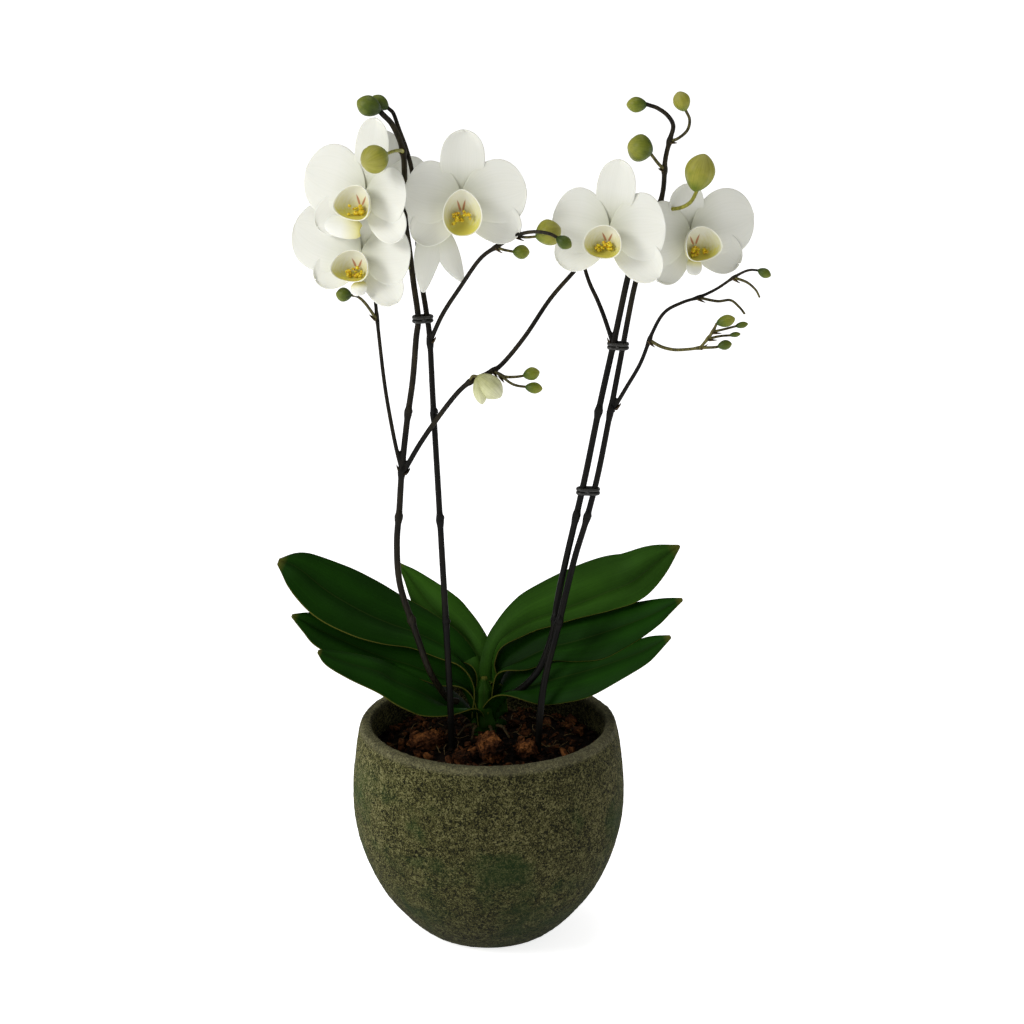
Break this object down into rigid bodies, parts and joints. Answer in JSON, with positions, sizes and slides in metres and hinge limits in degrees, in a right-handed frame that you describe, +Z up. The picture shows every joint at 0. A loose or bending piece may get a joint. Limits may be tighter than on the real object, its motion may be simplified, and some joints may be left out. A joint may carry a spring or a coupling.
{
  "type": "potted orchid",
  "caption": "Potted moth orchid with strap leaves, branching flower spikes, white blooms and green buds, in a round rough-cast planter filled with bark.",
  "frame": {"origin": "middle of the planter's flat foot, where it rests", "axes": "+Z up along the planter's axis, -Y the front that the blooms face, +X to the right"},
  "size_m": [0.3415, 0.195, 0.6171],
  "materials": {
    "planter_stone": "rough cast mineral surface with moss-green patches",
    "pine_bark": "rough fibrous pine bark",
    "leaf_tissue": "thick waxy leaf with a soft gloss",
    "root": "pale matt aerial root",
    "spike_cane": "smooth dark olive-brown stem",
    "clip_plastic": "moulded black plastic",
    "petal_tissue": "soft white petal with faint veins",
    "lip_tissue": "cream to yellow lip with orange-red streaks",
    "bud_green": "waxy green bud",
    "bud_cream": "waxy cream bud"
  },
  "bodies": {
    "root": {"pot": "planter_stone", "bark_bed": "pine_bark", "bark_chip_1": "pine_bark", "bark_chip_2": "pine_bark", "bark_chip_3": "pine_bark", "bark_chip_4": "pine_bark", "crown": "leaf_tissue", "aerial_roots": "root", "leaf_left_1": "leaf_tissue", "leaf_left_2": "leaf_tissue", "leaf_left_3": "leaf_tissue", "leaf_top": "leaf_tissue", "leaf_right_1": "leaf_tissue", "leaf_right_2": "leaf_tissue", "leaf_right_3": "leaf_tissue", "spike_left_rear": "spike_cane", "spike_left_front": "spike_cane", "spike_right_inner": "spike_cane", "spike_right_outer": "spike_cane", "clip_left": "clip_plastic", "clip_right_lower": "clip_plastic", "clip_right_upper": "clip_plastic", "flower_1_sepals": "petal_tissue", "flower_1_petal_left": "petal_tissue", "flower_1_petal_right": "petal_tissue", "flower_1_lip": "lip_tissue", "flower_2_sepals": "petal_tissue", "flower_2_petal_left": "petal_tissue", "flower_2_petal_right": "petal_tissue", "flower_2_lip": "lip_tissue", "flower_3_sepals": "petal_tissue", "flower_3_petal_left": "petal_tissue", "flower_3_petal_right": "petal_tissue", "flower_3_lip": "lip_tissue", "flower_4_sepals": "petal_tissue", "flower_4_petal_left": "petal_tissue", "flower_4_petal_right": "petal_tissue", "flower_4_lip": "lip_tissue", "flower_5_sepals": "petal_tissue", "flower_5_petal_left": "petal_tissue", "flower_5_petal_right": "petal_tissue", "flower_5_lip": "lip_tissue", "flower_6_sepals": "petal_tissue", "flower_6_petal_left": "petal_tissue", "flower_6_petal_right": "petal_tissue", "flower_6_lip": "lip_tissue", "drooping_flower": "petal_tissue", "opening_bud": "bud_cream", "bud_01": "bud_green", "bud_02": "bud_green", "bud_03": "bud_green", "bud_04": "bud_green", "bud_05": "bud_green", "bud_06": "bud_green", "bud_07": "bud_green", "bud_08": "bud_green", "bud_09": "bud_green", "bud_10": "bud_green", "bud_11": "bud_green", "bud_12": "bud_green"}
  },
  "joints": []
}
